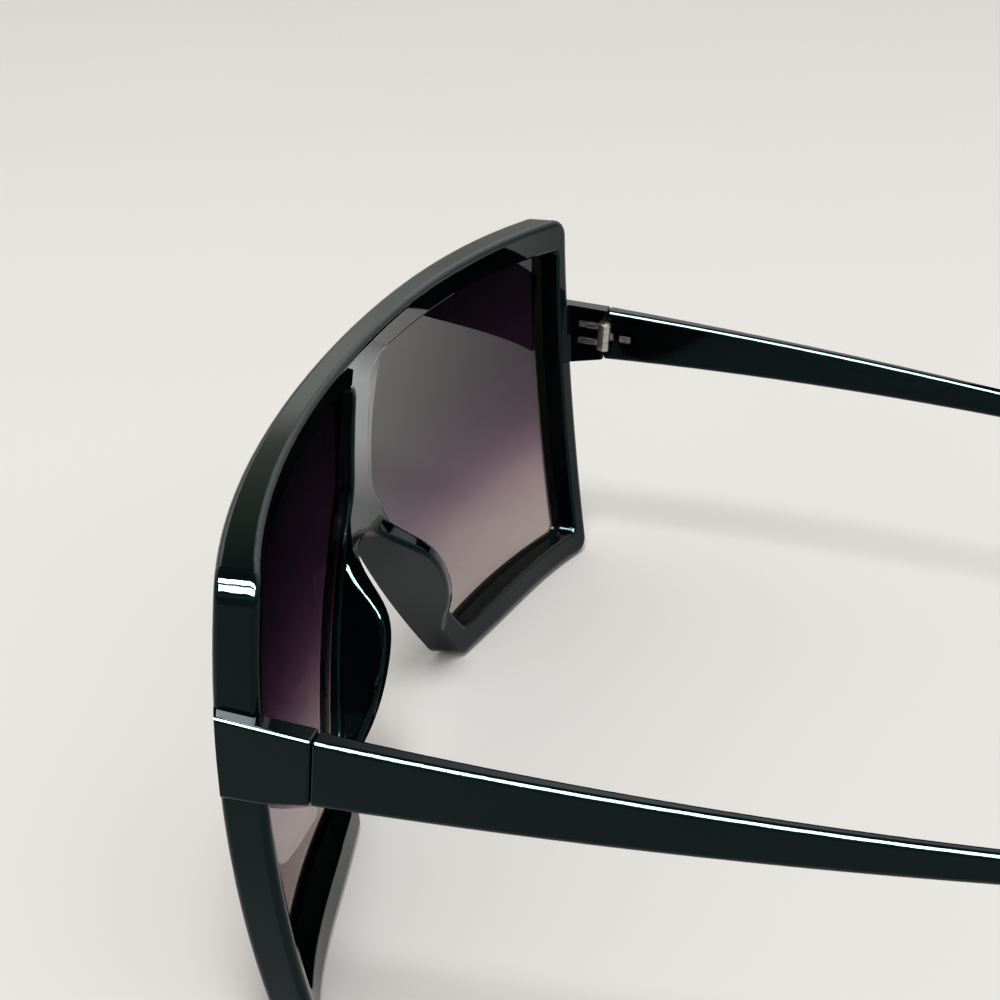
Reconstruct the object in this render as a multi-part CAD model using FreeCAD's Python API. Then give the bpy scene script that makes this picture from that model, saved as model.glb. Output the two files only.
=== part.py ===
import FreeCAD, Part
import math
import os

Vector = FreeCAD.Vector

# Oversized sunglasses resting open on a table, sizes in millimetres and degrees.
# X runs across the face, Y from the front back to the ears, Z up from the table.
# Depths are drawn from the foremost point of the front, and the finished pieces are
# moved so that the origin lies on the table under the middle of the whole object.

# Outline of the front
front_height = 69.7
top_half_width = 70.8
bottom_half_width = 71.8
side_bulge = 3.0
brow_arch = 2.9
top_corner_radius = 4.0
bottom_corner_radius = 3.0

# Curvature and depth of the front
wrap_radius = 323.0
corner_wrap = 4.24
upright_radius = 176.0
foremost_height = 40.3
side_depth = 6.6
foot_depth = 2.5
foot_swell = 3.2
bridge_depth = 4.6
edge_round = 1.0

# Rims around the lens openings
top_rim = 5.1
lens_arch = 3.5
outer_rim = 3.3
bottom_rim = 4.5
nose_rim = 6.1
bridge_half_width = 3.5
brow_opening_radius = 4.0
opening_radius = 1.5
flare_radius = 9.0
opening_round = 0.6

# Nose gap and moulded pads
nose_half_width = 24.6
nose_angle = 31.6
nose_arch_radius = 4.8
nose_splay = 11.0
nose_foot_radius = 4.0
gap_round = 0.7
pad_width = 5.0
pad_top = 38.5
pad_neck = 35.0
pad_shoulder = 28.5
pad_crown = 23.0
pad_heel = 13.0
pad_toe = 8.0
pad_bottom = 4.5
pad_reach = 12.8
pad_shoulder_drop = 1.0
pad_heel_drop = 1.9
pad_toe_rise = 1.0
pad_neck_rise = 1.2
pad_sink = 0.25
pad_round = 1.2

# Lenses
lens_setback = 1.3
lens_thickness = 1.8
lens_grip = 0.8
lens_clearance = 0.05

# Endpieces
end_spread = 1.65
end_proud = 0.9
end_thickness = 3.1
end_root = 0.4
end_drop = 20.9
end_height = 9.6
end_root_drop = 0.9
end_length = 26.0
end_gusset = 0.6
end_round = 0.6
arm_tilt = 5.8

# Side arms
joint_gap = 0.1
joint_round = 0.4
arm_toe_in = 1.3
arm_bow_radius = 495.0
arm_thickness = 3.1
ear_thickness = 2.0
arm_straight = 85.0
arm_waist = 4.1
arm_belly = 0.25
ear_bend_radius = 40.0
ear_angle = 42.0
tip_height = 6.0
arm_round = 0.8

# Hinges
knuckle_radius = 1.2
knuckle_height = 1.8
strip_height = 1.2
middle_knuckle_height = 1.3
knuckle_gap = 0.05
hinge_inset = 0.5
pocket_clearance = 0.25
screw_radius = 0.55
screw_head_radius = 0.95
screw_head_height = 0.5
screw_clearance = 0.03
screw_slot_width = 0.25
screw_slot_depth = 0.25
leaf_thickness = 0.8
leaf_proud = 0.15
leaf_corner = 0.4
front_leaf_length = 5.0
arm_leaf_length = 7.0
leaf_clearance = 0.02
tie_setback = 1.6
tie_length = 1.4
boss_length = 6.4
boss_height = 4.6
boss_corner = 1.8
boss_proud = 0.35
boss_window_setback = 1.1
boss_window_length = 2.1

# Working room around the solids, and the grid that the curved faces are drawn through
reach = 40.0
grid_across = 12
grid_up = 8
grid_margin = 3.0
ear_stations = 8
near = 0.05

tilt = math.radians(arm_tilt)
lean = math.radians(nose_angle)
splay = math.radians(nose_splay)
toe_in = math.radians(arm_toe_in)
ear = math.radians(ear_angle)
half_width = max(top_half_width, bottom_half_width) + side_bulge


def front_y(x, z):
    """Depth of the front surface at a place on the front."""
    across = x * x / (2 * wrap_radius) + corner_wrap * (x / half_width) ** 4
    return across + (z - foremost_height) ** 2 / (2 * upright_radius)


def rim_depth(x, z):
    """Depth of the rim from front to back, thin towards the nose and thick below the lenses."""
    outward = abs(x) / half_width
    low = (1 - z / front_height) ** 3
    middle = bridge_depth + (foot_depth - bridge_depth) * low
    swell = foot_swell * low * (4 * outward * (1 - outward)) ** 2
    return middle + (side_depth - middle) * outward ** 2 + swell


def back_y(x, z):
    """Depth of the rim's back surface at a place on the front."""
    return front_y(x, z) + rim_depth(x, z)


def flush(x, z):
    return 0


def brow_z(x):
    """Height of the arched top edge."""
    return front_height - brow_arch * (x / top_half_width) ** 2


def lens_z(x):
    """Height of the arched top edge of a lens opening."""
    return front_height - top_rim - lens_arch * (x / top_half_width) ** 2


def side_x(z):
    """Half width of the front at a height."""
    share = (front_height - z) / front_height
    straight = top_half_width + (bottom_half_width - top_half_width) * share
    return straight + side_bulge * 4 * share * (1 - share)


end_top = front_height - end_drop
end_bottom = end_top - end_height
hinge_height = (end_top + end_bottom) / 2
rim_x = side_x(hinge_height)
end_outer = rim_x + end_spread
hinge_x = end_outer - end_thickness - hinge_inset


def at(x, z):
    return Vector(x, 0, z)


def flat(x, y):
    return Vector(x, y, 0)


def upright(y, z):
    return Vector(0, y, z)


def arc(a, b, c):
    return Part.Arc(a, b, c).toShape()


def line(a, b):
    return Part.LineSegment(a, b).toShape()


def curve(points):
    """Smooth edge through the points."""
    spline = Part.BSplineCurve()
    spline.interpolate(points)
    return spline.toShape()


def closed(points):
    """Straight edges that join the points in turn and close the outline."""
    return [line(a, b) for a, b in zip(points, points[1:] + points[:1])]


def prism(edges, start, length, direction):
    """Solid made by pushing a flat closed outline along a direction."""
    face = Part.Face(Part.Wire(edges))
    face.translate(direction * start)
    return face.extrude(direction * length)


def along_x(edges):
    return prism(edges, 0, 3 * reach, Vector(1, 0, 0))


def along_y(edges):
    return prism(edges, -reach, 3 * reach, Vector(0, 1, 0))


def along_z(edges):
    return prism(edges, -reach, 4 * reach, Vector(0, 0, 1))


def mirrored(shape):
    return shape.mirror(Vector(0, 0, 0), Vector(1, 0, 0))


def rounded(solid, radius, wanted):
    """Round the edges whose ends and middle all fulfil a condition on their points."""
    edges = []
    for edge in solid.Edges:
        first, last = edge.ParameterRange
        points = [edge.valueAt(first), edge.valueAt((first + last) / 2), edge.valueAt(last)]
        if all(wanted(point) for point in points):
            edges.append(edge)
    return solid.makeFillet(radius, edges)


def round_along_y(solid, spots):
    """Round the front-to-back edges of a prism that stand at the given places."""
    for x, z, radius in spots:
        solid = rounded(solid, radius, lambda p: abs(p.x - x) + abs(p.z - z) < near)
    return solid


def behind(offset):
    """Everything behind a surface that follows the front at an offset."""
    half = half_width + end_spread + grid_margin
    step_z = (front_height + 2 * grid_margin) / grid_up
    rows = []
    for i in range(grid_across + 1):
        x = half * (2 * i / grid_across - 1)
        heights = [j * step_z - grid_margin for j in range(grid_up + 1)]
        rows.append([Vector(x, front_y(x, z) + offset(x, z), z) for z in heights])
    surface = Part.BSplineSurface()
    surface.interpolate(rows)
    return surface.toShape().extrude(Vector(0, reach, 0))


def outer_outline():
    """Outline of the front without the nose gap, as a prism with rounded corners."""
    corner = brow_z(top_half_width)
    middle = corner / 2
    top = (top_half_width, corner)
    bottom = (bottom_half_width, 0)
    right = arc(at(*top), at(side_x(middle), middle), at(*bottom))
    brow = arc(at(-top[0], corner), at(0, front_height), at(*top))
    base = line(at(*bottom), at(-bottom[0], 0))
    spots = [(side * top[0], corner, top_corner_radius) for side in (-1, 1)]
    spots += [(side * bottom[0], 0, bottom_corner_radius) for side in (-1, 1)]
    return round_along_y(along_y([brow, right, base, mirrored(right)]), spots)


def leg_x(z, offset):
    """Where a side of the nose gap stands, moved outward square to itself by an offset."""
    return nose_half_width - z * math.tan(lean) + offset / math.cos(lean)


def leg_z(x, offset):
    """Height at which a side of the nose gap, moved outward, comes in to a given half width."""
    return (leg_x(0, offset) - x) / math.tan(lean)


arch_z = leg_z(0, 0) - nose_arch_radius / math.sin(lean)


def on_gap(point):
    """Whether a place lies on a side or on the arch of the nose gap."""
    offset = point.y * math.tan(splay)
    leg = abs(point.x) - leg_x(point.z, offset)
    arch = math.hypot(point.x, point.z - arch_z) - nose_arch_radius - offset
    return min(abs(leg), abs(arch)) < near


def opening(grow):
    """Outline of the left lens opening, grown outward all round, as a prism."""
    inner = bridge_half_width - grow
    low = bottom_rim - grow
    high = lens_z(inner) + grow
    edge_z = lens_z(top_half_width) + grow
    upper = (side_x(edge_z) - outer_rim + grow, edge_z)
    lower = (side_x(low) - outer_rim + grow, low)
    middle = (upper[1] + lower[1]) / 2
    nose_low = (leg_x(low, nose_rim - grow), low)
    flare = (inner, leg_z(inner, nose_rim - grow))
    mid_x = (inner + upper[0]) / 2
    edges = [
        arc(at(inner, high), at(mid_x, lens_z(mid_x) + grow), at(*upper)),
        arc(at(*upper), at(side_x(middle) - outer_rim + grow, middle), at(*lower)),
        line(at(*lower), at(*nose_low)),
        line(at(*nose_low), at(*flare)),
        line(at(*flare), at(inner, high)),
    ]
    spots = [(inner, high, brow_opening_radius + grow)]
    spots += [(*spot, opening_radius + grow) for spot in (upper, lower, nose_low)]
    spots += [(*flare, flare_radius)]
    return round_along_y(along_y(edges), spots)


def nose_section(depth):
    """Outline of the nose gap at a depth; it opens out towards the back."""
    offset = depth * math.tan(splay)
    radius = nose_arch_radius + offset
    touch = (radius * math.cos(lean), arch_z + radius * math.sin(lean))
    foot = nose_foot_radius * math.tan((math.pi / 2 - lean) / 2)
    base = leg_x(0, offset)
    start = (base + foot, 0)
    end = (base - foot * math.sin(lean), foot * math.cos(lean))
    middle_angle = math.pi / 2 + (math.pi / 2 - lean) / 2
    middle = (start[0] + nose_foot_radius * math.cos(middle_angle),
              nose_foot_radius * (1 - math.sin(middle_angle)))
    right = [line(at(start[0], -reach), at(*start)),
             arc(at(*start), at(*middle), at(*end)),
             line(at(*end), at(*touch))]
    left = [mirrored(edge) for edge in reversed(right)]
    arch = arc(at(*touch), at(0, arch_z + radius), at(-touch[0], touch[1]))
    floor = line(at(-start[0], -reach), at(start[0], -reach))
    wire = Part.Wire(right + [arch] + left + [floor])
    wire.translate(Vector(0, depth, 0))
    return wire


def nose_gap():
    return Part.makeLoft([nose_section(-reach / 4), nose_section(reach)], True, True)


def pad_root(z):
    """Depth at which the pad's outline sinks into the back of the rim at a height."""
    return back_y(leg_x(z, 0), z) - pad_sink


def nose_pad():
    """Left moulded pad, a crest that swells out of the rim's back and is rounded on its lens side."""
    foot = upright(pad_root(pad_bottom), pad_bottom)
    head = upright(pad_root(pad_top), pad_top)
    neck = upright(pad_root(pad_neck) + pad_neck_rise, pad_neck)
    crown = upright(pad_reach, pad_crown)
    toe = upright(pad_root(pad_toe) + pad_toe_rise, pad_toe)
    heel = upright(pad_reach - pad_heel_drop, pad_heel)
    shoulder = upright(pad_reach - pad_shoulder_drop, pad_shoulder)
    low = upright(0, pad_bottom)
    high = upright(0, pad_top)
    swell = curve([foot, toe, heel, crown, shoulder, neck, head])
    profile = along_x([swell, line(head, high), line(high, low), line(low, foot)])
    strip = along_y(closed([at(0, pad_bottom), at(leg_x(pad_bottom, pad_width), pad_bottom),
                            at(leg_x(pad_top, pad_width), pad_top), at(0, pad_top)]))
    pad = profile.common(strip).common(behind(lambda x, z: bridge_depth / 2))
    crest = pad_width - pad_reach * math.tan(splay)

    def on_outer_side(point):
        return abs(point.x - leg_x(point.z, pad_width)) < near

    edges = [e for e in pad.Edges if all(on_outer_side(v.Point) for v in e.Vertexes)
             and e.BoundBox.ZLength > (pad_top - pad_bottom) / 2 and e.BoundBox.YMax > pad_reach - near]
    return pad.makeFillet(min(pad_round, crest - near), edges)


def rim_blank():
    """The curved front before it is pierced, with its rounded rim."""
    blank = outer_outline().common(behind(flush)).cut(behind(rim_depth))

    def on_face(point):
        depth = point.y - front_y(point.x, point.z)
        return min(abs(depth), abs(depth - rim_depth(point.x, point.z))) < near

    return rounded(blank, edge_round, on_face)


def pierced_front():
    """The front with both lens openings, their edges rounded on the front and on the back."""
    front = rim_blank()
    for hole in (opening(0), mirrored(opening(0))):
        front = front.cut(hole)
    edges = []
    for face in front.Faces:
        edges += [e for w in face.Wires if not w.isSame(face.OuterWire) for e in w.Edges]
    return front.makeFillet(opening_round, edges)


def lens_body(clearance):
    """The left lens, or with a clearance the room that it sits in."""
    layer = behind(lambda x, z: lens_setback - clearance)
    layer = layer.cut(behind(lambda x, z: lens_setback + lens_thickness + clearance))
    return opening(lens_grip + clearance).common(layer)


def joint_y(z):
    """Depth of the joint between endpiece and side arm, which leans with the arm."""
    return end_length - (end_top - z) * math.tan(tilt)


def joint_rounded(solid, gap):
    """Round the edges of the end face that lies at the joint."""
    return rounded(solid, joint_round, lambda p: abs(p.y - joint_y(p.z) - gap) < near)


def endpiece():
    """Block on the left rim that carries the hinge and ends at the arm's joint."""
    root_x = rim_x - outer_rim + end_root
    inner = end_outer - end_thickness
    turn = back_y(inner, hinge_height) + end_gusset
    far = end_length + reach
    plan = along_z(closed([flat(rim_x + end_proud, 0), flat(end_outer, end_length), flat(end_outer, far),
                           flat(inner, far), flat(inner, turn),
                           flat(root_x, back_y(root_x, hinge_height)), flat(root_x, 0)]))
    back = back_y(rim_x, hinge_height)
    root = end_bottom - end_root_drop
    crest = end_top + end_length * math.tan(tilt)
    side = along_x(closed([upright(0, crest), upright(joint_y(end_top), end_top),
                           upright(joint_y(end_bottom), end_bottom), upright(back, root), upright(0, root)]))
    block = plan.common(side)

    def on_outer_corner(point):
        outer = rim_x + end_proud + (end_outer - rim_x - end_proud) * point.y / end_length
        return abs(point.x - outer) < near and point.y < joint_y(point.z) + near

    long_edges = [e for e in block.Edges if e.BoundBox.YLength > end_height / 2
                  and all(on_outer_corner(v.Point) for v in e.Vertexes)]
    block = joint_rounded(block.makeFillet(end_round, long_edges), 0)
    return block.common(behind(flush))


bow_turn = arm_straight / arm_bow_radius


def bow_point(inset, share):
    """A place on the bowed stretch of the arm seen from above, inset from its outer face."""
    heading = toe_in + bow_turn * share
    x = end_outer - arm_bow_radius * (math.cos(toe_in) - math.cos(heading))
    y = end_length + arm_bow_radius * (math.sin(heading) - math.sin(toe_in))
    return flat(x - inset * math.cos(heading), y - inset * math.sin(heading))


def bow_edges(inset, last_inset):
    """One long face of the arm seen from above: lead-in, bow, and straight run to the tip."""
    thinning = inset - last_inset
    start = bow_point(inset, 0)
    middle = bow_point(last_inset + thinning / 4, 0.5)
    end = bow_point(last_inset, 1)
    first = toe_in - 2 * thinning / arm_straight
    lead = Vector(math.sin(first), -math.cos(first), 0) * end_length
    last = toe_in + bow_turn
    run = Vector(-math.sin(last), math.cos(last), 0) * arm_straight
    return [line(start + lead, start), arc(start, middle, end), line(end, end + run)]


def arm_plan():
    outer = bow_edges(0, 0)
    inner = bow_edges(arm_thickness, ear_thickness)
    front = line(inner[0].Vertexes[0].Point, outer[0].Vertexes[0].Point)
    back = line(outer[-1].Vertexes[-1].Point, inner[-1].Vertexes[-1].Point)
    return along_z(outer + [back] + inner[::-1] + [front])


# The ear piece bends down behind the straight arm until its rounded tip meets the table
tip_radius = tip_height / 2
bend_y = end_length + arm_straight
bend_z = end_top - arm_straight * math.tan(tilt) - arm_waist / 2
bend_length = ear_bend_radius * (ear - tilt)
bend_end_y = bend_y + ear_bend_radius * (math.sin(ear) - math.sin(tilt))
bend_end_z = bend_z - ear_bend_radius * (math.cos(tilt) - math.cos(ear))
ear_length = (bend_end_z - tip_radius) / math.sin(ear)
tip_y = bend_end_y + ear_length * math.cos(ear)
overall_depth = tip_y + tip_radius


def ear_edge(side):
    """Upper or lower edge of the ear piece, which bends down and widens to its tip."""
    points = []
    for k in range(ear_stations + 1):
        share = k / ear_stations
        run = (bend_length + ear_length) * share
        turn = min(run / ear_bend_radius, ear - tilt) + tilt
        past = max(run - bend_length, 0)
        y = bend_y + ear_bend_radius * (math.sin(turn) - math.sin(tilt)) + past * math.cos(ear)
        z = bend_z - ear_bend_radius * (math.cos(tilt) - math.cos(turn)) - past * math.sin(ear)
        half = arm_waist / 2 + (tip_radius - arm_waist / 2) * math.sin(math.pi / 2 * share) ** 2
        points.append(upright(y + side * half * math.sin(turn), z + side * half * math.cos(turn)))
    return curve(points)


def arm_side():
    """The arm seen from the side, from the leaning joint to the tip on the table."""
    upper = ear_edge(1)
    lower = ear_edge(-1)
    upper_start = upper.Vertexes[0].Point
    lower_start = lower.Vertexes[0].Point
    top = upright(joint_y(end_top) + joint_gap, end_top)
    bottom = upright(joint_y(end_bottom) + joint_gap, end_bottom)
    belly = (bottom + lower_start) / 2 + upright(0, arm_belly)
    tip = upright(tip_y + tip_radius * math.cos(ear), tip_radius - tip_radius * math.sin(ear))
    return along_x([line(bottom, top), line(top, upper_start), upper,
                    arc(upper.Vertexes[-1].Point, tip, lower.Vertexes[-1].Point), lower,
                    arc(lower_start, belly, bottom)])


def arm_blank():
    """The left side arm with its long edges and its joint edges rounded."""
    arm = arm_plan().common(arm_side())
    long_edges = [e for e in arm.Edges if e.BoundBox.YLength > joint_gap + arm_thickness]
    return joint_rounded(arm.makeFillet(arm_round, long_edges), joint_gap)


# Hinge parts are drawn upright about the screw and then leaned with the side arm
half_middle = middle_knuckle_height / 2
knuckle_low = half_middle + knuckle_gap
knuckle_high = knuckle_low + knuckle_height
leaf_face = hinge_inset - leaf_proud
leaf_back = leaf_face + leaf_thickness


def in_place(shape):
    """Move a hinge part from its own upright frame to the left joint."""
    shape.Placement = FreeCAD.Placement(Vector(hinge_x, joint_y(hinge_height), hinge_height),
                                        FreeCAD.Rotation(Vector(1, 0, 0), -arm_tilt))
    return shape


def cylinder(radius, low, high):
    return Part.makeCylinder(radius, high - low, Vector(0, 0, low))


def box(low, high, grow):
    """Block between two corners, grown by the same amount on every side."""
    size = high - low
    low = low - Vector(grow, grow, grow)
    return Part.makeBox(size.x + 2 * grow, size.y + 2 * grow, size.z + 2 * grow, low)


def leaf(end, low, high, grow):
    """A metal strip let into the inner face of the plastic, rounded at its far end."""
    bar = box(Vector(leaf_face, min(0, end), low), Vector(leaf_back, max(0, end), high), grow)
    tip = end + math.copysign(grow, end)
    corners = [e for e in bar.Edges if e.BoundBox.XLength > leaf_thickness / 2
               and all(abs(v.Y - tip) < leaf_clearance / 2 for v in e.Vertexes)]
    return bar.makeFillet(leaf_corner + grow, corners)


def anchor(start, end, half, grow):
    """A plate buried in the plastic behind a strip, which keeps the strip from pulling out."""
    depth = (leaf_face + leaf_back) / 2
    return box(Vector(depth, start, -half), Vector(depth + leaf_thickness, end, half), grow)


def front_hinge_leaves(grow):
    """Two strips in the endpiece and the buried plate that ties them together."""
    middle = knuckle_low + knuckle_height / 2
    low = middle - strip_height / 2
    high = middle + strip_height / 2
    upper = leaf(-front_leaf_length, low, high, grow)
    lower = leaf(-front_leaf_length, -high, -low, grow)
    tie = anchor(-tie_setback - tie_length, -tie_setback, middle, grow)
    return upper.fuse(lower).fuse(tie)


def front_hinge():
    bore = cylinder(screw_radius + screw_clearance, -reach, reach)
    upper = cylinder(knuckle_radius, knuckle_low, knuckle_high)
    lower = cylinder(knuckle_radius, -knuckle_high, -knuckle_low)
    return in_place(front_hinge_leaves(0).fuse(upper).fuse(lower).cut(bore))


def arm_hinge_leaf(grow):
    """The strip in the side arm with the buried cross plate that holds it."""
    strip = leaf(arm_leaf_length, -half_middle, half_middle, grow)
    end = arm_leaf_length - tie_setback
    return strip.fuse(anchor(end - tie_length, end, knuckle_low, grow))


def arm_hinge():
    bore = cylinder(screw_radius + screw_clearance, -reach, reach)
    return in_place(arm_hinge_leaf(0).fuse(cylinder(knuckle_radius, -half_middle, half_middle)).cut(bore))


def hinge_screw():
    head_top = knuckle_high + screw_head_height
    head = cylinder(screw_head_radius, knuckle_high, head_top)
    slot = box(Vector(-screw_head_radius, -screw_slot_width / 2, head_top - screw_slot_depth),
               Vector(screw_head_radius, screw_slot_width / 2, head_top), 0)
    return in_place(cylinder(screw_radius, -knuckle_high, knuckle_high).fuse(head).cut(slot))


def knuckle_pocket():
    """Room in the plastic around the knuckles and the screw head."""
    low = -knuckle_high - pocket_clearance
    high = knuckle_high + screw_head_height + pocket_clearance
    return in_place(cylinder(knuckle_radius + pocket_clearance, low, high))


def arm_boss():
    """Raised pad on the inner face of the arm round the hinge strip, with a window on to it."""
    start = knuckle_radius + 2 * pocket_clearance
    end = start + boss_length
    half = boss_height / 2
    pad = box(Vector(hinge_inset - boss_proud, start, -half), Vector(leaf_back, end, half), 0)
    corners = [e for e in pad.Edges if e.BoundBox.XLength > boss_proud
               and all(abs(v.Y - end) < near for v in e.Vertexes)]
    window_start = start + boss_window_setback
    window = box(Vector(leaf_face - boss_proud, window_start, -half_middle),
                 Vector(leaf_face, window_start + boss_window_length, half_middle), 0)
    return in_place(pad.makeFillet(boss_corner, corners).cut(window))


def front_frame():
    gap = nose_gap()
    pad = nose_pad()
    pads = pad.fuse(mirrored(pad)).cut(gap).removeSplitter()
    root = bridge_depth / 2 + near
    pads = rounded(pads, gap_round, lambda p: on_gap(p) and p.y > front_y(p.x, p.z) + root)
    end = endpiece().cut(knuckle_pocket()).cut(in_place(front_hinge_leaves(leaf_clearance)))
    groove = lens_body(lens_clearance)
    front = pierced_front().cut(gap).fuse(pads)
    front = front.fuse(end).fuse(mirrored(end))
    return front.cut(groove).cut(mirrored(groove))


def side_arm():
    arm = arm_blank().fuse(arm_boss())
    return arm.cut(knuckle_pocket()).cut(in_place(arm_hinge_leaf(leaf_clearance)))


def export(name, shape):
    """Write one piece with the origin on the table under the middle of the whole object."""
    shape.translate(Vector(0, -overall_depth / 2, 0))
    shape.exportStep("parts/" + name + ".step")
    print(name, shape.isValid(), len(shape.Solids), round(shape.Volume, 2), len(shape.Faces))


os.makedirs("parts", exist_ok=True)
export("front_frame", front_frame())
pairs = {
    "lens": lens_body(0),
    "temple": side_arm(),
    "front_hinge_plate": front_hinge(),
    "temple_hinge_plate": arm_hinge(),
    "hinge_screw": hinge_screw(),
}
for name, piece in pairs.items():
    right = mirrored(piece)
    export("left_" + name, piece)
    export("right_" + name, right)
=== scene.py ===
import math

import bpy
from mathutils import Matrix, Vector

# View of the photograph: behind the wearer's left side, looking down on the open sunglasses
CAMERA_PLACE = (0.26153, 0.02698, 0.17907)
CAMERA_AZIMUTH = 107.453
CAMERA_ELEVATION = 26.044
CAMERA_ROLL = -1.954
CAMERA_LENS = 72.0
CAMERA_CLIP = 0.005
SENSOR_WIDTH = 36.0

# Map ranges that several finishes share: nought to one, and the middle of a noise
UNIT = (0.0, 1.0)
NOISE_MIDDLE = (0.3, 0.7)

# Moulded black plastic, glossy; painted shade turns the reflection mostly down on the low upward
# ledges below the lenses
PLASTIC_DEEP = (0.0006, 0.0010, 0.0011, 1.0)
PLASTIC_PALE = (0.0014, 0.0022, 0.0024, 1.0)
PLASTIC_TINT = (0.13, 0.26, 0.28, 1.0)
PLASTIC_IOR = 1.5
PLASTIC_ROUGH = (0.03, 0.07)
PLASTIC_GLOSS = 0.5
# Painted shade: the ledges' lowered reflection level, and which upward faces and heights it falls on
LEDGE_SHADE_GLOSS = 0.05
LEDGE_UPWARD = (0.6, 0.9)
LEDGE_HEIGHT = (0.016, 0.022)

# Lens tint by height, from pale at the foot to nearly black below the brow
LENS_IOR = 1.38
LENS_ROUGH = (0.0, 0.03)
LENS_NOISE = (0.35, 0.7)
LENS_HEIGHT = (0.004, 0.067)
LENS_TINTS = [
    (0.0, (0.70, 0.60, 0.57, 1.0)),
    (0.17, (0.38, 0.285, 0.31, 1.0)),
    (0.31, (0.145, 0.085, 0.12, 1.0)),
    (0.39, (0.070, 0.032, 0.060, 1.0)),
    (0.47, (0.038, 0.016, 0.036, 1.0)),
    (0.60, (0.016, 0.007, 0.016, 1.0)),
    (0.82, (0.006, 0.004, 0.007, 1.0)),
    (1.0, (0.004, 0.003, 0.005, 1.0)),
]

# Plated steel of the hinges
METAL_DEEP = (0.30, 0.30, 0.29, 1.0)
METAL_PALE = (0.44, 0.435, 0.42, 1.0)
METAL_ROUGH = (0.12, 0.22)
METAL_STRETCH = (1.0, 1.0, 6.0)

# Pale table top, just below the sunglasses
FLOOR_SIZE = 8.0
FLOOR_DROP = 0.0002
FLOOR_PALE = (0.80, 0.785, 0.77, 1.0)
FLOOR_DEEP = (0.77, 0.76, 0.745, 1.0)
FLOOR_ROUGH = (0.6, 0.8)

# One soft lamp above the near side
KEY_TARGET = (0.0, -0.02, 0.03)
KEY_WAY = (0.33, 0.05, 1.0)
KEY_DISTANCE = 1.2
KEY_SIZE = 0.40
KEY_POWER = 6.4

# World: even light, a pale backdrop, and two walls that reflections see, shaded by height
WORLD_LIGHT = (0.71, 0.70, 0.675, 1.0)
BACKDROP = (0.56, 0.545, 0.515, 1.0)
WALL_TURN = (-0.25, -0.10)
FRONT_WALL = [
    (0.0, (0.42, 0.43, 0.39, 1.0)),
    (0.24, (0.46, 0.48, 0.43, 1.0)),
    (0.32, (0.75, 0.77, 0.70, 1.0)),
    (0.38, (1.12, 1.14, 1.04, 1.0)),
    (0.44, (1.32, 1.34, 1.26, 1.0)),
    (0.475, (0.45, 0.48, 0.38, 1.0)),
    (0.52, (0.26, 0.30, 0.22, 1.0)),
    (0.58, (0.06, 0.10, 0.09, 1.0)),
    (1.0, (0.12, 0.14, 0.14, 1.0)),
]
SIDE_WALL = [
    (0.0, (0.50, 0.51, 0.48, 1.0)),
    (0.30, (0.85, 0.87, 0.83, 1.0)),
    (0.50, (1.50, 1.55, 1.52, 1.0)),
    (0.70, (1.60, 1.66, 1.64, 1.0)),
    (0.85, (0.50, 0.53, 0.53, 1.0)),
    (1.0, (0.20, 0.22, 0.22, 1.0)),
]

# Card that only reflections see: a light panel above the near side, with a dark band
PANEL_X = (0.18, 1.3)
PANEL_Y = (-0.9, 0.7)
PANEL_Z = 1.0
PANEL_LIGHT = 300.0
PANEL_COLOUR = (1.0, 0.80, 0.78)
PANEL_BANDS = [(0.0, 1.0), (0.20, 1.0), (0.26, 0.0), (0.34, 0.0), (0.40, 1.0), (1.0, 1.0)]

# Card that only reflections see: a bright fill beside the bridge, softer at its ends
FILL_X = -0.0115
FILL_Y = (-0.0775, -0.052)
FILL_Z = (0.036, 0.064)
FILL_LIGHT = 1.6
FILL_COLOUR = (1.0, 1.0, 0.98)
FILL_BANDS = [(0.0, 0.48), (0.4, 1.0), (0.75, 1.0), (1.0, 0.4)]

# Black cards that only reflections see: by the bridge, by and above the near pad, and by the far arm
FLAG_BLACK = (0.002, 0.002, 0.003, 1.0)
BRIDGE_FLAG_X = 0.0055
PAD_FLAG_X = 0.0195
LENS_FLAG_Y = (-0.0785, 0.03)
LENS_FLAG_Z = (0.001, 0.067)
EDGE_FLAG_X = (0.020, 0.066)
EDGE_FLAG_Y = (-0.079, -0.035)
EDGE_FLAG_Z = 0.048
ARM_FLAG_X = -0.0685
ARM_FLAG_Y = (-0.068, 0.03)
ARM_FLAG_Z = (0.041, 0.056)

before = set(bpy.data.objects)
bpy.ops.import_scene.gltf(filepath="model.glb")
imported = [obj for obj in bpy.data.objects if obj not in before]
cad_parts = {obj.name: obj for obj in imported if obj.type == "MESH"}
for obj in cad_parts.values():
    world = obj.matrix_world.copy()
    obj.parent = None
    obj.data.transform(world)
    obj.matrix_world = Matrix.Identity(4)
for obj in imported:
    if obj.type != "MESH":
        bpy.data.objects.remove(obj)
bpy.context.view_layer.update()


def new_tree(name):
    material = bpy.data.materials.new(name)
    material.use_nodes = True
    tree = material.node_tree
    tree.nodes.clear()
    return material, tree


def add(tree, kind, **values):
    node = tree.nodes.new(kind)
    for key, value in values.items():
        setattr(node, key, value)
    return node


def put(node, **values):
    """Sets the node's sockets, an underscore standing for a space in their names."""
    for key, value in values.items():
        node.inputs[key.replace("_", " ")].default_value = value
    return node


def noise(tree, vector, scale, detail, rough=0.5):
    node = add(tree, "ShaderNodeTexNoise")
    put(node, Scale=scale, Detail=detail, Roughness=rough)
    tree.links.new(vector, node.inputs["Vector"])
    return node.outputs["Fac"]


def ramp(tree, value, stops):
    node = add(tree, "ShaderNodeValToRGB")
    elements = node.color_ramp.elements
    while len(elements) < len(stops):
        elements.new(0.5)
    for element, (position, colour) in zip(elements, stops):
        element.position = position
        element.color = colour
    tree.links.new(value, node.inputs["Fac"])
    return node.outputs["Color"]


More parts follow.
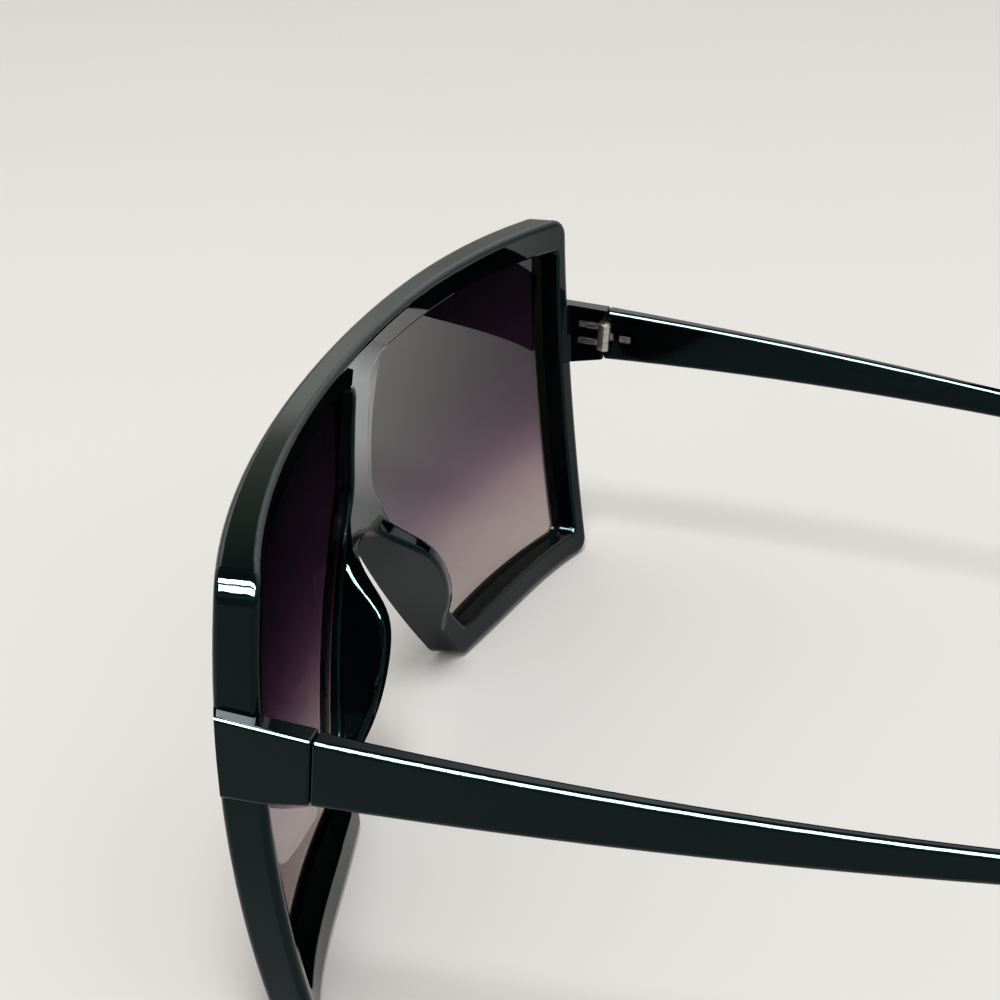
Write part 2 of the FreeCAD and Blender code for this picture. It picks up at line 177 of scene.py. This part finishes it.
def span(tree, value, source, target):
    """Maps the source range onto the target range."""
    node = add(tree, "ShaderNodeMapRange")
    put(node, From_Min=source[0], From_Max=source[1], To_Min=target[0], To_Max=target[1])
    tree.links.new(value, node.inputs["Value"])
    return node.outputs["Result"]


def bump(tree, height, strength, distance):
    node = add(tree, "ShaderNodeBump")
    put(node, Strength=strength, Distance=distance)
    tree.links.new(height, node.inputs["Height"])
    return node.outputs["Normal"]


def place(tree):
    return add(tree, "ShaderNodeTexCoord").outputs["Object"]


def stretched(tree, vector, scale):
    node = add(tree, "ShaderNodeMapping")
    put(node, Scale=scale)
    tree.links.new(vector, node.inputs["Vector"])
    return node.outputs["Vector"]


def axes(tree, vector):
    node = add(tree, "ShaderNodeSeparateXYZ")
    tree.links.new(vector, node.inputs["Vector"])
    return node.outputs


def combined(tree, operation, first, second):
    node = add(tree, "ShaderNodeMath", operation=operation)
    tree.links.new(first, node.inputs[0])
    tree.links.new(second, node.inputs[1])
    return node.outputs["Value"]


def mixed(tree, factor, first, second):
    """The first shader where the factor is 0, the second where it is 1."""
    node = add(tree, "ShaderNodeMixShader")
    tree.links.new(factor, node.inputs["Fac"])
    tree.links.new(first, node.inputs[1])
    tree.links.new(second, node.inputs[2])
    return node.outputs["Shader"]


def light_path(tree):
    return add(tree, "ShaderNodeLightPath").outputs


def geometry(tree):
    return add(tree, "ShaderNodeNewGeometry").outputs


def finish_with(tree, shader):
    out = add(tree, "ShaderNodeOutputMaterial")
    tree.links.new(shader, out.inputs["Surface"])


def black_plastic():
    material, tree = new_tree("moulded_black")
    at = place(tree)
    shader = add(tree, "ShaderNodeBsdfPrincipled")
    put(shader, IOR=PLASTIC_IOR, Metallic=0.0, Specular_Tint=PLASTIC_TINT)
    cloud = noise(tree, at, scale=70.0, detail=4.0)
    colour = ramp(tree, cloud, [(0.3, PLASTIC_DEEP), (0.75, PLASTIC_PALE)])
    grain = noise(tree, at, scale=420.0, detail=6.0, rough=0.6)
    wave = noise(tree, at, scale=160.0, detail=3.0)
    tree.links.new(colour, shader.inputs["Base Color"])
    tree.links.new(span(tree, grain, NOISE_MIDDLE, PLASTIC_ROUGH), shader.inputs["Roughness"])
    tree.links.new(bump(tree, wave, strength=0.015, distance=0.0003), shader.inputs["Normal"])
    # Painted shade on the low upward ledges below the lenses: their reflection is turned down so
    # they stay dark
    tree.links.new(ledge_painted_shade(tree, at), shader.inputs["Specular IOR Level"])
    finish_with(tree, shader.outputs["BSDF"])
    return material


def ledge_painted_shade(tree, at):
    """Painted shade: gloss turned mostly down on the low upward ledges below the lenses, so they
    reflect little and stay dark.
    """
    upward = span(tree, axes(tree, geometry(tree)["Normal"])["Z"], LEDGE_UPWARD, UNIT)
    low = span(tree, axes(tree, at)["Z"], LEDGE_HEIGHT, (1.0, 0.0))
    ledge = combined(tree, "MULTIPLY", upward, low)
    return span(tree, ledge, UNIT, (PLASTIC_GLOSS, LEDGE_SHADE_GLOSS))


def gradient_lens():
    """Glass tinted by height, which lets tinted light through to the floor."""
    material, tree = new_tree("tinted_lens")
    at = place(tree)
    tint = ramp(tree, span(tree, axes(tree, at)["Z"], LENS_HEIGHT, UNIT), LENS_TINTS)
    shader = add(tree, "ShaderNodeBsdfPrincipled")
    put(shader, IOR=LENS_IOR, Transmission_Weight=1.0)
    grain = noise(tree, at, scale=240.0, detail=4.0)
    tree.links.new(tint, shader.inputs["Base Color"])
    tree.links.new(span(tree, grain, LENS_NOISE, LENS_ROUGH), shader.inputs["Roughness"])
    clear = add(tree, "ShaderNodeBsdfTransparent")
    tree.links.new(tint, clear.inputs["Color"])
    shadow = light_path(tree)["Is Shadow Ray"]
    finish_with(tree, mixed(tree, shadow, shader.outputs["BSDF"], clear.outputs["BSDF"]))
    return material


def hinge_metal():
    material, tree = new_tree("plated_steel")
    shader = add(tree, "ShaderNodeBsdfPrincipled")
    put(shader, Metallic=1.0)
    grain = noise(tree, stretched(tree, place(tree), METAL_STRETCH), scale=500.0, detail=3.0)
    colour = ramp(tree, grain, [(0.3, METAL_DEEP), (0.7, METAL_PALE)])
    tree.links.new(colour, shader.inputs["Base Color"])
    tree.links.new(span(tree, grain, NOISE_MIDDLE, METAL_ROUGH), shader.inputs["Roughness"])
    tree.links.new(bump(tree, grain, strength=0.02, distance=0.00005), shader.inputs["Normal"])
    finish_with(tree, shader.outputs["BSDF"])
    return material


def floor_material():
    material, tree = new_tree("pale_table")
    at = place(tree)
    shader = add(tree, "ShaderNodeBsdfPrincipled")
    put(shader, Specular_IOR_Level=0.0)
    cloud = noise(tree, at, scale=3.0, detail=3.0)
    colour = ramp(tree, cloud, [(0.3, FLOOR_DEEP), (0.7, FLOOR_PALE)])
    grain = noise(tree, at, scale=60.0, detail=3.0)
    tree.links.new(colour, shader.inputs["Base Color"])
    tree.links.new(span(tree, grain, NOISE_MIDDLE, FLOOR_ROUGH), shader.inputs["Roughness"])
    finish_with(tree, shader.outputs["BSDF"])
    return material


FINISHES = {
    "black_plastic": black_plastic(),
    "gradient_lens": gradient_lens(),
    "hinge_metal": hinge_metal(),
}


def dress_nodes():
    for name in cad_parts:
        for slot in bpy.data.objects[name].material_slots:
            slot.material = FINISHES[slot.material.name]


def sheet(name, corners, material):
    mesh = bpy.data.meshes.new(name)
    mesh.from_pydata(corners, [], [(0, 1, 2, 3)])
    mesh.materials.append(material)
    holder = bpy.data.objects.new(name, mesh)
    bpy.context.collection.objects.link(holder)
    return holder


def make_floor():
    half = FLOOR_SIZE / 2
    z = -FLOOR_DROP
    corners = [(-half, -half, z), (half, -half, z), (half, half, z), (-half, half, z)]
    floor = sheet("table_top", corners, floor_material())


def glossy_card(name, corners, material):
    """A stage card that only reflections see."""
    card = sheet(name, corners, material)
    card.visible_camera = False
    card.visible_diffuse = False
    card.visible_transmission = False
    card.visible_shadow = False


def one_sided(tree, shader):
    """The card from its front, and nothing from behind or through a lens."""
    clear = add(tree, "ShaderNodeBsdfTransparent")
    behind = geometry(tree)["Backfacing"]
    through = light_path(tree)["Is Transmission Ray"]
    unseen = combined(tree, "MAXIMUM", behind, through)
    finish_with(tree, mixed(tree, unseen, shader, clear.outputs["BSDF"]))


def light_material(name, axis, ends, stops, colour, light):
    """Emission that fades along one axis and lights no floor."""
    material, tree = new_tree(name)
    shader = add(tree, "ShaderNodeEmission")
    along = span(tree, axes(tree, place(tree))[axis], ends, UNIT)
    red, green, blue = colour
    shades = [(at, (shade * red, shade * green, shade * blue, 1.0)) for at, shade in stops]
    strength = span(tree, light_path(tree)["Diffuse Depth"], UNIT, (light, 0.0))
    tree.links.new(ramp(tree, along, shades), shader.inputs["Color"])
    tree.links.new(strength, shader.inputs["Strength"])
    one_sided(tree, shader.outputs["Emission"])
    return material


def flag_material():
    material, tree = new_tree("black_flag")
    shader = add(tree, "ShaderNodeBsdfDiffuse")
    put(shader, Color=FLAG_BLACK)
    one_sided(tree, shader.outputs["BSDF"])
    return material


def upright(x, y, z):
    """Corners of a card that faces +X."""
    return [(x, y[0], z[0]), (x, y[1], z[0]), (x, y[1], z[1]), (x, y[0], z[1])]


def overhead(x, y, z):
    """Corners of a card that faces down."""
    return [(x[0], y[0], z), (x[0], y[1], z), (x[1], y[1], z), (x[1], y[0], z)]


def make_cards():
    panel = light_material("light_panel", "X", PANEL_X, PANEL_BANDS, PANEL_COLOUR, PANEL_LIGHT)
    glossy_card("light_panel", overhead(PANEL_X, PANEL_Y, PANEL_Z), panel)
    fill = light_material("bridge_fill", "Z", FILL_Z, FILL_BANDS, FILL_COLOUR, FILL_LIGHT)
    glossy_card("bridge_fill", upright(FILL_X, FILL_Y, FILL_Z), fill)
    black = flag_material()
    glossy_card("bridge_flag", upright(BRIDGE_FLAG_X, LENS_FLAG_Y, LENS_FLAG_Z), black)
    glossy_card("pad_flag", upright(PAD_FLAG_X, LENS_FLAG_Y, LENS_FLAG_Z), black)
    glossy_card("edge_flag", overhead(EDGE_FLAG_X, EDGE_FLAG_Y, EDGE_FLAG_Z), black)
    glossy_card("arm_flag", upright(ARM_FLAG_X, ARM_FLAG_Y, ARM_FLAG_Z), black)


def background(tree):
    return add(tree, "ShaderNodeBackground")


def make_world():
    """A pale backdrop to the eye and through glass, walls in reflections, even light to the rest."""
    world = bpy.data.worlds.new("studio")
    world.use_nodes = True
    tree = world.node_tree
    tree.nodes.clear()
    way = axes(tree, add(tree, "ShaderNodeTexCoord").outputs["Generated"])
    walls = add(tree, "ShaderNodeMix", data_type="RGBA")
    tree.links.new(span(tree, way["Y"], WALL_TURN, UNIT), walls.inputs["Factor"])
    tree.links.new(ramp(tree, way["Z"], FRONT_WALL), walls.inputs["A"])
    tree.links.new(ramp(tree, way["Z"], SIDE_WALL), walls.inputs["B"])
    seen = background(tree)
    tree.links.new(walls.outputs["Result"], seen.inputs["Color"])
    light = put(background(tree), Color=WORLD_LIGHT).outputs["Background"]
    pale = put(background(tree), Color=BACKDROP).outputs["Background"]
    path = light_path(tree)
    reflected = mixed(tree, path["Is Glossy Ray"], light, seen.outputs["Background"])
    direct = combined(tree, "MAXIMUM", path["Is Camera Ray"], path["Is Transmission Ray"])
    out = add(tree, "ShaderNodeOutputWorld")
    tree.links.new(mixed(tree, direct, reflected, pale), out.inputs["Surface"])
    bpy.context.scene.world = world


def make_lamp():
    lamp = bpy.data.lights.new("key_lamp", "AREA")
    lamp.shape = "DISK"
    lamp.size = KEY_SIZE
    lamp.energy = KEY_POWER
    holder = bpy.data.objects.new("key_lamp", lamp)
    toward = Vector(KEY_WAY).normalized()
    holder.location = Vector(KEY_TARGET) + toward * KEY_DISTANCE
    holder.rotation_euler = toward.to_track_quat("Z", "Y").to_euler()
    bpy.context.collection.objects.link(holder)


def make_camera():
    azimuth = math.radians(CAMERA_AZIMUTH)
    elevation = math.radians(CAMERA_ELEVATION)
    roll = math.radians(CAMERA_ROLL)
    flat = math.cos(elevation)
    back = Vector((math.sin(azimuth) * flat, -math.cos(azimuth) * flat, math.sin(elevation)))
    level = (-back).cross(Vector((0.0, 0.0, 1.0))).normalized()
    above = level.cross(-back)
    right = math.cos(roll) * level + math.sin(roll) * above
    up = math.cos(roll) * above - math.sin(roll) * level
    data = bpy.data.cameras.new("photo_view")
    data.sensor_width = SENSOR_WIDTH
    data.lens = CAMERA_LENS
    data.clip_start = CAMERA_CLIP
    camera = bpy.data.objects.new("photo_view", data)
    turn = Matrix((right, up, back)).transposed().to_4x4()
    camera.matrix_world = Matrix.Translation(CAMERA_PLACE) @ turn
    bpy.context.collection.objects.link(camera)
    bpy.context.scene.camera = camera


dress_nodes()
make_floor()
make_cards()
make_world()
make_lamp()
make_camera()
bpy.context.scene.view_settings.view_transform = "Standard"
